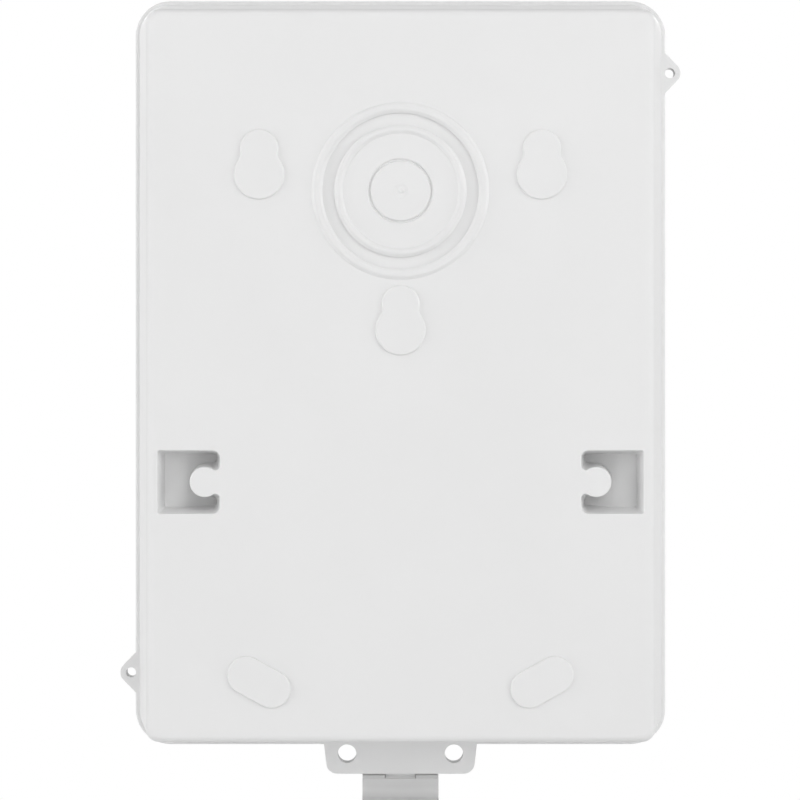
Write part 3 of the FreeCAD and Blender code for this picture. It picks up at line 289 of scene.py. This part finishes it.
@dataclass(frozen=True)
class SatinMoulding:
    """Moulded plastic with faint flow clouds, a fine eroded grain and slow waves of shrinkage.

    The sheen is how far the roughness strays below and above its middle, and a width is that of
    one cloud, wave or grain.
    """

    name: str
    shade: Triple
    deeper: Triple
    roughness: float = 0.5
    sheen: Pair = (-0.04, 0.05)
    sheen_width: float = 9 * MM
    flow_width: float = 65 * MM
    wave_width: float = 42 * MM
    wave_depth: float = 0.04 * MM
    grain_width: float = 0.35 * MM
    grain_depth: float = 0.006 * MM
    ior: float = 1.49
    specular: float = 0.38

    def material(self) -> bpy.types.Material:
        """The finish as a material.

        Returns:
            The material.
        """
        tree = FinishTree(self.name)
        tree.tint(tree.mottle(self.flow_width, detail=3.0), self.shade, self.deeper)
        tree.gloss(tree.mottle(self.sheen_width, *about(self.roughness, self.sheen), detail=4.0))
        tree.fixed(IOR=self.ior, Specular_IOR_Level=self.specular)
        grain = tree.mottle(self.grain_width)
        wave = tree.mottle(self.wave_width, detail=1.0)
        tree.relief([(wave, self.wave_depth), (grain, self.grain_depth)])
        return tree.material


@dataclass(frozen=True)
class ClearMoulding:
    """Clear polycarbonate, faintly blue, with flow lines in its gloss and slow waves."""

    name: str
    shade: Triple
    dulled: float = 0.985
    cloud_width: float = 80 * MM
    sheen: Pair = (0.03, 0.075)
    flow: Triple = (1.0, 1.0, 0.25)
    flow_width: float = 18 * MM
    wave_width: float = 55 * MM
    wave_depth: float = 0.06 * MM
    ior: float = 1.58

    def material(self) -> bpy.types.Material:
        """The finish as a material.

        Returns:
            The material.
        """
        tree = FinishTree(self.name)
        deeper = tuple(part * self.dulled for part in self.shade)
        tree.tint(tree.mottle(self.cloud_width), self.shade, deeper)
        tree.gloss(tree.mottle(self.flow_width, *self.sheen, 3.0, tree.stretched(self.flow)))
        tree.fixed(IOR=self.ior, Transmission_Weight=1.0)
        tree.relief([(tree.mottle(self.wave_width, detail=0.0), self.wave_depth)])
        return tree.material


@dataclass(frozen=True)
class PlatedSheet:
    """Zinc-plated sheet with soft spangle and rolling marks along its length.

    The marks run along the axis that has the small scale in the field named rolled.
    """

    name: str
    shade: Triple
    deeper: Triple
    rolled: Triple
    roughness: float = 0.34
    sheen: Pair = (-0.06, 0.1)
    spangle_width: float = 3.2 * MM
    mark_width: float = 0.5 * MM
    mark_depth: float = 0.004 * MM

    def material(self) -> bpy.types.Material:
        """The finish as a material.

        Returns:
            The material.
        """
        tree = FinishTree(self.name)
        tree.tint(tree.spangle(self.spangle_width), self.shade, self.deeper)
        marks = tree.mottle(self.mark_width, detail=3.0, along=tree.stretched(self.rolled))
        tree.gloss(tree.span(marks, (0.0, 1.0), about(self.roughness, self.sheen)))
        tree.fixed(Metallic=1.0)
        tree.relief([(marks, self.mark_depth)])
        return tree.material


@dataclass(frozen=True)
class TurnedMetal:
    """Turned or drawn metal with fine marks and a faint film of handling.

    The marks run along the axis that has the small scale in the field named drawn.
    """

    name: str
    shade: Triple
    deeper: Triple
    drawn: Triple = (0.05, 1.0, 1.0)
    roughness: float = 0.26
    sheen: Pair = (-0.05, 0.12)
    film_width: float = 6 * MM
    mark_width: float = 0.3 * MM
    mark_depth: float = 0.003 * MM

    def material(self) -> bpy.types.Material:
        """The finish as a material.

        Returns:
            The material.
        """
        tree = FinishTree(self.name)
        tree.tint(tree.mottle(self.film_width, detail=4.0), self.shade, self.deeper)
        marks = tree.mottle(self.mark_width, detail=3.0, along=tree.stretched(self.drawn))
        tree.gloss(tree.span(marks, (0.0, 1.0), about(self.roughness, self.sheen)))
        tree.fixed(Metallic=1.0)
        tree.relief([(marks, self.mark_depth)])
        return tree.material


@dataclass(frozen=True)
class StudioFloor:
    """Pale matt floor that keeps the shadow near, turns white farther out and is clear from beneath.

    The pool is the distance at which the floor starts to turn white and the one at which it is.
    """

    name: str = "studio_floor"
    shade: Triple = (0.9, 0.9, 0.9)
    dulled: float = 0.99
    cloud_width: float = 0.4
    pool: Pair = (0.4, 0.85)
    across: Triple = (1.0, 1.0, 0.0)
    roughness: float = 0.9
    specular: float = 0.1

    def material(self) -> bpy.types.Material:
        """The finish as a material.

        Returns:
            The material.
        """
        tree = FinishTree(self.name)
        deeper = tuple(part * self.dulled for part in self.shade)
        tree.tint(tree.mottle(self.cloud_width), self.shade, deeper)
        tree.fixed(Roughness=self.roughness, Specular_IOR_Level=self.specular)
        reach = tree.nodes.new("ShaderNodeVectorMath")
        reach.operation = "LENGTH"
        tree.links.new(tree.stretched(self.across), reach.inputs[0])
        beyond = tree.span(reach.outputs["Value"], self.pool, (0.0, 1.0))
        far = tree.joined("MULTIPLY", beyond, tree.looked_at())
        white = tree.nodes.new("ShaderNodeEmission").outputs[0]
        above = tree.mixed(far, tree.surface.outputs[0], white)
        beneath = tree.nodes.new("ShaderNodeNewGeometry").outputs["Backfacing"]
        clear = tree.nodes.new("ShaderNodeBsdfTransparent").outputs[0]
        tree.show(tree.mixed(beneath, above, clear))
        return tree.material


class Finish(Enum):
    """Finishes of the enclosure's pieces."""

    SHELL = SatinMoulding("shell_moulding", (0.762, 0.762, 0.762), (0.748, 0.748, 0.748))
    # Painted shade: the clip is the shell's grey plastic, darkened here to stand in for the shade it hangs
    # in under the hasp plates.
    PAINTED_SHADE_CLIP = SatinMoulding("clip_moulding_painted_shade", (0.63, 0.63, 0.63), (0.615, 0.615, 0.615))
    STRIP = SatinMoulding("strip_moulding", (0.775, 0.775, 0.77), (0.75, 0.75, 0.745), 0.4)
    CLAMP = SatinMoulding("clamp_moulding", (0.055, 0.058, 0.062), (0.045, 0.048, 0.05))
    EARTH = SatinMoulding("earth_moulding", (0.035, 0.2, 0.06), (0.028, 0.165, 0.048))
    NEUTRAL = SatinMoulding("neutral_moulding", (0.022, 0.075, 0.27), (0.018, 0.06, 0.225))
    WINDOW = ClearMoulding("window_moulding", (0.93, 0.955, 0.965))
    BARS = PlatedSheet("chassis_zinc", (0.62, 0.63, 0.65), (0.5, 0.51, 0.53), (1.0, 1.0, 0.03))
    RAILS = PlatedSheet("rail_zinc", (0.66, 0.67, 0.68), (0.54, 0.55, 0.57), (0.03, 1.0, 1.0))
    SCREWS = TurnedMetal("screw_zinc", (0.68, 0.69, 0.7), (0.55, 0.56, 0.57), (1.0, 0.1, 1.0))
    PINS = TurnedMetal("pin_steel", (0.72, 0.72, 0.73), (0.6, 0.6, 0.61))
    BRASS = TurnedMetal("drawn_brass", (0.78, 0.58, 0.25), (0.68, 0.48, 0.19))


class FinishShelf:
    """Materials of the finishes, each made once and shared by its pieces."""

    def __init__(self) -> None:
        """Starts with an empty shelf."""
        self.made: dict[Finish, bpy.types.Material] = {}

    def of(self, finish: Finish) -> bpy.types.Material:
        """The material of one finish, made when it is first asked for.

        Args:
            finish: The finish.

        Returns:
            The material.
        """
        if finish not in self.made:
            self.made[finish] = finish.value.material()
        return self.made[finish]


@dataclass
class SubAssembly:
    """A group of nodes that ride on one body, with the marks added to them."""

    shelf: FinishShelf
    body: Body = Body.BASE

    def dress(self, finish: Finish, slot: Slot, *nodes: str) -> None:
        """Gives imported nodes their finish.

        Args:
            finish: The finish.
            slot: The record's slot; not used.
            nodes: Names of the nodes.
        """
        for name in nodes:
            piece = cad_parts[name]
            piece.data.materials.clear()
            piece.data.materials.append(self.shelf.of(finish))
            log.info("dressed %s with %s", name, finish.value.name)

    def add(self, name: str, shape: bmesh.types.BMesh, finish: Finish, slot: Slot) -> None:
        """Turns a shape into a piece that rides on this sub-assembly's body.

        Args:
            name: Name of the piece.
            shape: Its shape in the model's frame.
            finish: The finish.
            slot: The record's slot; not used.
        """
        bmesh.ops.recalc_face_normals(shape, faces=shape.faces)
        mesh = bpy.data.meshes.new(name)
        shape.to_mesh(mesh)
        shape.free()
        mesh.materials.append(self.shelf.of(finish))
        mesh.shade_smooth()
        piece = bpy.data.objects.new(name, mesh)
        bpy.context.scene.collection.objects.link(piece)
        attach(piece, self.body.value)
        log.info("made %s, %d faces", name, len(mesh.polygons))


@dataclass
class GateStub:
    """Torn stub that the gate leaves in the knock-out disc, beside the middle where the origin lies.

    The stub starts below the rear face by its sink, and a crown point's crest sets how much of it
    is left there.
    """

    radius: float = 1.4 * MM
    rise: float = 0.6 * MM
    sink: float = 1.45 * MM
    aside: Pair = (-0.5 * MM, 0.4 * MM)
    taper: float = 0.75
    torn: float = 0.4
    ragged: float = 0.12
    crests: Pair = (0.55, 1.0)
    middle_crest: float = 0.75
    rings: int = 7
    points: int = 28
    seed: int = 11

    def ring(self, shape: bmesh.types.BMesh, share: float, crests: list[float]) -> list[bmesh.types.BMVert]:
        """One ring of the stub.

        Args:
            shape: Mesh that takes the points.
            share: Height of the ring, from 0 at the foot to 1 at the crown.
            crests: How much of the stub is left at each point.

        Returns:
            The ring's points.
        """
        reach = self.radius * (1 - self.taper * share)
        height = self.rise * math.sin(share * math.pi / 2)
        loop = []
        for i, crest in enumerate(crests):
            turn = 2 * math.pi * i / self.points
            out = reach * (1 + self.ragged * (crest - self.middle_crest))
            x = self.aside[0] + out * math.cos(turn)
            y = -self.sink + height * (1 - self.torn + self.torn * crest)
            z = self.aside[1] + out * math.sin(turn)
            loop.append(shape.verts.new((x, y, z)))
        return loop

    def shape(self) -> bmesh.types.BMesh:
        """The stub's rings, joined by faces and closed at foot and crown.

        Returns:
            The mesh.
        """
        draw = random.Random(self.seed)
        crests = [draw.uniform(*self.crests) for _ in range(self.points)]
        shape = bmesh.new()
        loops = [self.ring(shape, level / (self.rings - 1), crests) for level in range(self.rings)]
        for low, high in zip(loops, loops[1:]):
            for i in range(self.points):
                j = (i + 1) % self.points
                shape.faces.new((low[i], low[j], high[j], high[i]))
        shape.faces.new(loops[-1])
        shape.faces.new(list(reversed(loops[0])))
        return shape


@dataclass
class RearBase(SubAssembly):
    """Rear moulding, with the gate's stub in its cable entry."""

    stub: GateStub = field(default_factory=GateStub)

    def build(self) -> None:
        """Dresses the moulding and adds the stub."""
        self.dress(Finish.SHELL, Slot.SHELL, "rear_base")
        self.add("sprue_stub", self.stub.shape(), Finish.SHELL, Slot.SHELL)


@dataclass
class FrontCover(SubAssembly):
    """Front moulding with its blanking strips and hinge pins."""

    body: Body = Body.COVER

    def build(self) -> None:
        """Dresses the moulding, strips and pins.

        The strips are glossier than the moulding round them.
        """
        self.dress(Finish.SHELL, Slot.SHELL, "front_cover")
        self.dress(Finish.STRIP, Slot.SHELL, "upper_blanking_strip", "lower_blanking_strip")
        self.dress(Finish.PINS, Slot.BRIGHT, "cover_hinge_pins")


@dataclass
class ClearDoor(SubAssembly):
    """Clear door with its pins."""

    body: Body = Body.DOOR

    def build(self) -> None:
        """Dresses the door and its pins."""
        self.dress(Finish.WINDOW, Slot.WINDOW, "clear_door")
        self.dress(Finish.PINS, Slot.BRIGHT, "door_hinge_pins")


@dataclass
class LatchClip(SubAssembly):
    """Clip under the hasp plates, with its pin."""

    body: Body = Body.LATCH

    def build(self) -> None:
        """Dresses the clip, in the shell's grey darkened as painted shade, and its pin."""
        self.dress(Finish.PAINTED_SHADE_CLIP, Slot.SHELL, "latch_clip")
        self.dress(Finish.PINS, Slot.BRIGHT, "latch_pin")


@dataclass
class Chassis(SubAssembly):
    """Bars, rails, clamps and their screws."""

    def build(self) -> None:
        """Dresses the chassis, its rails and what holds them."""
        self.dress(Finish.BARS, Slot.ZINC, "chassis_bar_left", "chassis_bar_right")
        self.dress(Finish.RAILS, Slot.ZINC, "upper_din_rail", "lower_din_rail")
        self.dress(Finish.SCREWS, Slot.BRIGHT, "chassis_screws", "din_rail_screws", "bar_holder_screws")
        self.dress(Finish.CLAMP, Slot.CLAMP, "upper_end_clamp", "lower_end_clamp")


@dataclass
class TerminalBars(SubAssembly):
    """Earth and neutral bars on their holders."""

    def build(self) -> None:
        """Dresses both bars, their screws and their holders."""
        for name, finish, slot in (
            ("earth", Finish.EARTH, Slot.EARTH),
            ("neutral", Finish.NEUTRAL, Slot.NEUTRAL),
        ):
            self.dress(Finish.BRASS, Slot.BRASS, name + "_bar")
            self.dress(Finish.SCREWS, Slot.BRIGHT, name + "_bar_screws")
            self.dress(finish, slot, name + "_bar_holder_left", name + "_bar_holder_right")


@dataclass(frozen=True)
class Lamp:
    """Square soft lamp, with its place and side in metres and its power in watts."""

    name: str
    place: Triple
    size: float
    power: float

    def hang(self, target: Triple) -> None:
        """Hangs the lamp in its place, turned to a point.

        Args:
            target: The point that it looks at.
        """
        data = bpy.data.lights.new(self.name, "AREA")
        data.size = self.size
        data.energy = self.power
        lamp = bpy.data.objects.new(self.name, data)
        lamp.location = self.place
        lamp.rotation_euler = (Vector(target) - Vector(self.place)).to_track_quat("-Z", "Y").to_euler()
        bpy.context.scene.collection.objects.link(lamp)


@dataclass
class Studio:
    """Floor, white surroundings, soft lamps, and the camera square to the rear face.

    The front lamps stand outside the planes that the drafted walls mirror to the camera.
    """

    eye: Triple = (0.0, 1.0, -0.0512)
    lens: float = 113.6
    shift: Pair = (-0.0006, -0.1)
    target: Triple = (0.0, 0.0, -0.07)
    floor: StudioFloor = StudioFloor()
    floor_drop: float = 0.16
    floor_reach: float = 6.0
    floor_cells: int = 8
    ambient: float = 0.1
    white: tuple[float, float, float, float] = (1.0, 1.0, 1.0, 1.0)
    lamps: tuple[Lamp, ...] = (
        Lamp("left_lamp", (2.15, 0.85, 0.2), size=1.6, power=30.5),
        Lamp("right_lamp", (-2.1, 1.0, 0.2), size=1.6, power=28.0),
        Lamp("key_lamp", (-1.0, 2.3, 1.7), size=1.2, power=14.0),
        Lamp("top_lamp", (0.0, 1.1, 2.2), size=1.6, power=10.0),
        Lamp("rear_lamp", (0.0, 3.2, 0.3), size=2.4, power=22.0),
        Lamp("front_lamp", (1.3, -2.2, 1.4), size=1.2, power=28.0),
        Lamp("front_fill", (-1.3, -2.3, 1.2), size=1.2, power=16.5),
    )

    def build(self) -> None:
        """Makes the camera, the floor, the world and the lamps."""
        self.make_camera()
        self.make_floor()
        self.make_world()
        for lamp in self.lamps:
            lamp.hang(self.target)

    def make_camera(self) -> None:
        """Puts the camera behind the enclosure, level, with the frame moved down by the shift."""
        data = bpy.data.cameras.new("camera")
        data.lens = self.lens
        data.shift_x, data.shift_y = self.shift
        camera = bpy.data.objects.new("camera", data)
        camera.location = self.eye
        camera.rotation_euler = (math.radians(90), 0, math.radians(180))
        bpy.context.scene.collection.objects.link(camera)
        bpy.context.scene.camera = camera

    def make_floor(self) -> None:
        """Lays the floor, a little below the enclosure, which hangs as on a wall."""
        low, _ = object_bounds()
        shape = bmesh.new()
        cells = self.floor_cells
        bmesh.ops.create_grid(shape, x_segments=cells, y_segments=cells, size=self.floor_reach)
        for vert in shape.verts:
            vert.co.z = low.z - self.floor_drop
        mesh = bpy.data.meshes.new("floor")
        shape.to_mesh(mesh)
        shape.free()
        floor = bpy.data.objects.new("floor", mesh)
        bpy.context.scene.collection.objects.link(floor)
        mesh.materials.append(self.floor.material())
        floor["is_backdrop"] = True

    def make_world(self) -> None:
        """Sets the world's light, white where the camera, a gloss or the window looks at it."""
        world = bpy.data.worlds.new("studio_world")
        bpy.context.scene.world = world
        tree = ShaderTree(world, "ShaderNodeOutputWorld")
        plain = tree.nodes.new("ShaderNodeBackground")
        plain.inputs["Color"].default_value = self.white
        plain.inputs["Strength"].default_value = self.ambient
        white = tree.nodes.new("ShaderNodeBackground")
        white.inputs["Color"].default_value = self.white
        tree.show(tree.mixed(tree.looked_at(), plain.outputs[0], white.outputs[0]))


def main() -> None:
    """Builds the studio and every sub-assembly in order, and keeps the sizes."""
    logging.basicConfig(level=logging.INFO, format="%(message)s")
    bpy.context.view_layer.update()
    bpy.context.scene.view_settings.view_transform = "Standard"
    Studio().build()
    shelf = FinishShelf()
    for part in (RearBase, FrontCover, ClearDoor, LatchClip, Chassis, TerminalBars):
        part(shelf).build()
        log.info("built %s", part.__name__)


if __name__ == "__main__":
    main()
